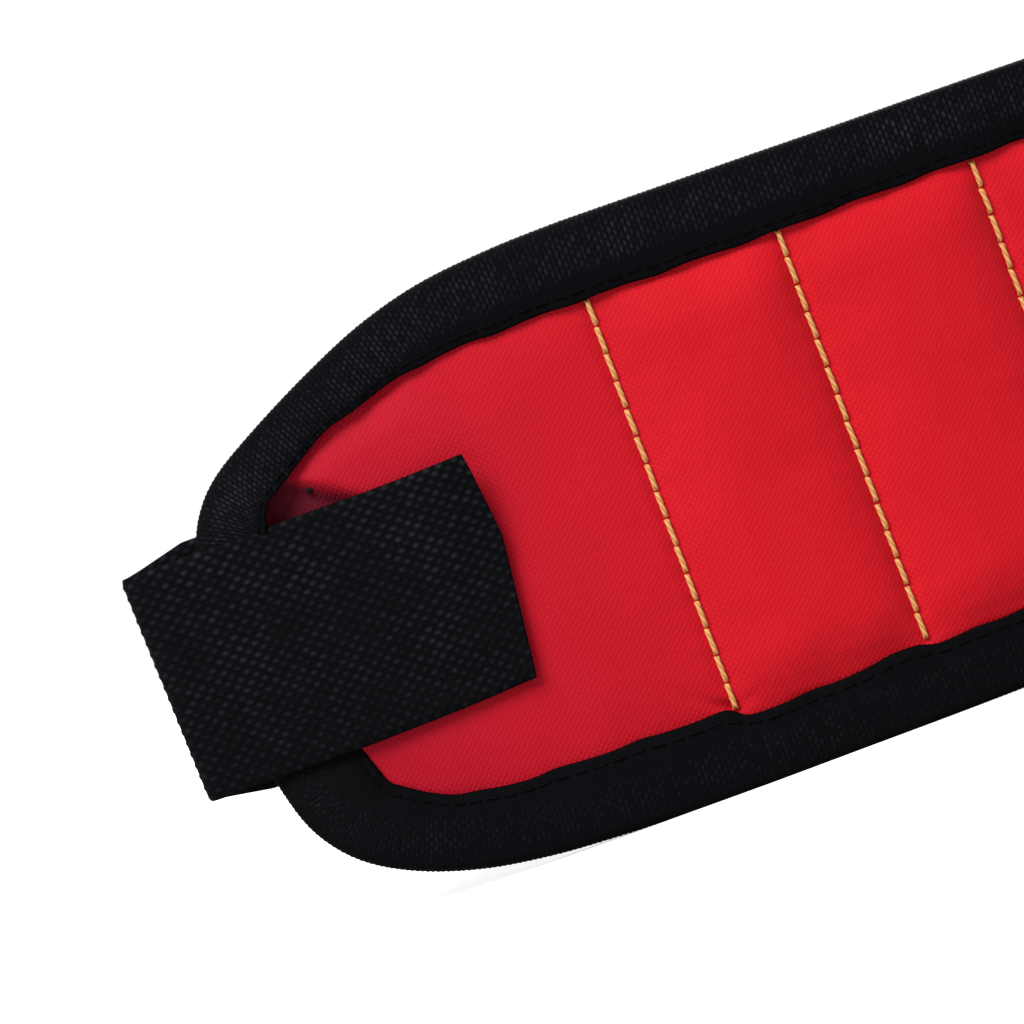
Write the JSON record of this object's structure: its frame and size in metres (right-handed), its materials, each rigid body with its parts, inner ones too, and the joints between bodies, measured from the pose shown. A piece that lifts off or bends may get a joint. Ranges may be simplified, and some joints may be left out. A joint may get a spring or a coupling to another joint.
{
  "type": "magnetic wrist pin holder",
  "caption": "Quilted fabric wristband with disc magnets in sewn pockets, bound edges and a folded webbing strap, for holding pins and needles.",
  "frame": {"origin": "under the middle of the bounding box, on the surface that the band's bottom edge stands on", "axes": "+X along the band from the strap end to the loop end, -Y out of the red face, +Z across the band's width, up"},
  "size_m": [0.3168, 0.0416, 0.0944],
  "materials": {
    "red_cover": "plain-woven polyester oxford, matt with a faint sheen",
    "black_binding": "ribbed grosgrain binding tape, matt",
    "black_webbing": "woven polypropylene webbing, satin",
    "lining_mesh": "padded air mesh, matt",
    "gold_thread": "polyester sewing thread, satin",
    "nickel": "nickel plating",
    "hook_tape": "nylon hook tape",
    "loop_patch": "brushed loop tape, matt"
  },
  "bodies": {
    "left_tip": {"left_tip_binding": "black_binding", "left_tip_cover": "red_cover", "left_tip_lining": "lining_mesh", "strap_anchor": "black_webbing"},
    "left_inner": {"left_inner_binding_top": "black_binding", "left_inner_binding_bottom": "black_binding", "left_inner_cover": "red_cover", "left_inner_lining": "lining_mesh"},
    "pocket_1": {"pocket_1_binding_top": "black_binding", "pocket_1_binding_bottom": "black_binding", "pocket_1_cover": "red_cover", "pocket_1_lining": "lining_mesh", "pocket_1_magnet_bottom": "nickel", "pocket_1_magnet_middle": "nickel", "pocket_1_magnet_top": "nickel", "seam_thread_1": "gold_thread"},
    "pocket_2": {"pocket_2_binding_top": "black_binding", "pocket_2_binding_bottom": "black_binding", "pocket_2_cover": "red_cover", "pocket_2_lining": "lining_mesh", "pocket_2_magnet_bottom": "nickel", "pocket_2_magnet_middle": "nickel", "pocket_2_magnet_top": "nickel", "seam_thread_2": "gold_thread"},
    "pocket_3": {"pocket_3_binding_top": "black_binding", "pocket_3_binding_bottom": "black_binding", "pocket_3_cover": "red_cover", "pocket_3_lining": "lining_mesh", "pocket_3_magnet_bottom": "nickel", "pocket_3_magnet_middle": "nickel", "pocket_3_magnet_top": "nickel", "seam_thread_3": "gold_thread"},
    "pocket_4": {"pocket_4_binding_top": "black_binding", "pocket_4_binding_bottom": "black_binding", "pocket_4_cover": "red_cover", "pocket_4_lining": "lining_mesh", "pocket_4_magnet_bottom": "nickel", "pocket_4_magnet_middle": "nickel", "pocket_4_magnet_top": "nickel", "seam_thread_4": "gold_thread"},
    "pocket_5": {"pocket_5_binding_top": "black_binding", "pocket_5_binding_bottom": "black_binding", "pocket_5_cover": "red_cover", "pocket_5_lining": "lining_mesh", "pocket_5_magnet_bottom": "nickel", "pocket_5_magnet_middle": "nickel", "pocket_5_magnet_top": "nickel", "seam_thread_5": "gold_thread"},
    "right_inner": {"right_inner_binding_top": "black_binding", "right_inner_binding_bottom": "black_binding", "right_inner_cover": "red_cover", "right_inner_lining": "lining_mesh", "seam_thread_6": "gold_thread"},
    "right_tip": {"right_tip_binding": "black_binding", "right_tip_cover": "red_cover", "right_tip_lining": "lining_mesh", "loop_patch": "loop_patch"},
    "strap_link": {"strap_fold": "black_webbing"},
    "strap_tongue": {"strap_tongue": "black_webbing", "hook_tape": "hook_tape"}
  },
  "joints": [
    {"name": "curl", "type": "hinge", "parent": "left_tip", "child": "left_inner", "pos_m": [-0.10094, -0.00014, 0], "axis": [0, 0, 1], "range_deg": [-5, 29.9]},
    {"name": "curl_seam_1", "type": "hinge", "parent": "left_inner", "child": "pocket_1", "pos_m": [-0.07776, -0.00636, 0], "axis": [0, 0, 1], "range_deg": [-5, 29.9]},
    {"name": "curl_seam_2", "type": "hinge", "parent": "pocket_1", "child": "pocket_2", "pos_m": [-0.04625, -0.01191, 0], "axis": [0, 0, 1], "range_deg": [-5, 29.9]},
    {"name": "curl_seam_3", "type": "hinge", "parent": "pocket_2", "child": "pocket_3", "pos_m": [-0.01288, -0.01483, 0], "axis": [0, 0, 1], "range_deg": [-5, 29.9]},
    {"name": "curl_seam_4", "type": "hinge", "parent": "pocket_3", "child": "pocket_4", "pos_m": [0.02062, -0.01483, 0], "axis": [0, 0, 1], "range_deg": [-5, 29.9]},
    {"name": "curl_seam_5", "type": "hinge", "parent": "pocket_4", "child": "pocket_5", "pos_m": [0.054, -0.01191, 0], "axis": [0, 0, 1], "range_deg": [-5, 29.9]},
    {"name": "curl_seam_6", "type": "hinge", "parent": "pocket_5", "child": "right_inner", "pos_m": [0.08699, -0.00609, 0], "axis": [0, 0, 1], "range_deg": [-5, 29.9]},
    {"name": "curl_right_end", "type": "hinge", "parent": "right_inner", "child": "right_tip", "pos_m": [0.11017, 0.00012, 0], "axis": [0, 0, 1], "range_deg": [-5, 29.9]},
    {"name": "strap", "type": "hinge", "parent": "left_tip", "child": "strap_link", "pos_m": [-0.15604, 0.02047, 0], "axis": [0, 0, -1], "range_deg": [0, 130.4]},
    {"name": "strap_second_bend", "type": "hinge", "parent": "strap_link", "child": "strap_tongue", "pos_m": [-0.15798, 0.01516, 0], "axis": [0, 0, -1], "range_deg": [0, 130.4]}
  ],
  "couplings": [
    {"joint": "curl_seam_1", "follows": "curl", "ratio": 1},
    {"joint": "curl_seam_2", "follows": "curl", "ratio": 1},
    {"joint": "curl_seam_3", "follows": "curl", "ratio": 1},
    {"joint": "curl_seam_4", "follows": "curl", "ratio": 1},
    {"joint": "curl_seam_5", "follows": "curl", "ratio": 1},
    {"joint": "curl_seam_6", "follows": "curl", "ratio": 1},
    {"joint": "curl_right_end", "follows": "curl", "ratio": 1},
    {"joint": "strap_second_bend", "follows": "strap", "ratio": 1}
  ]
}
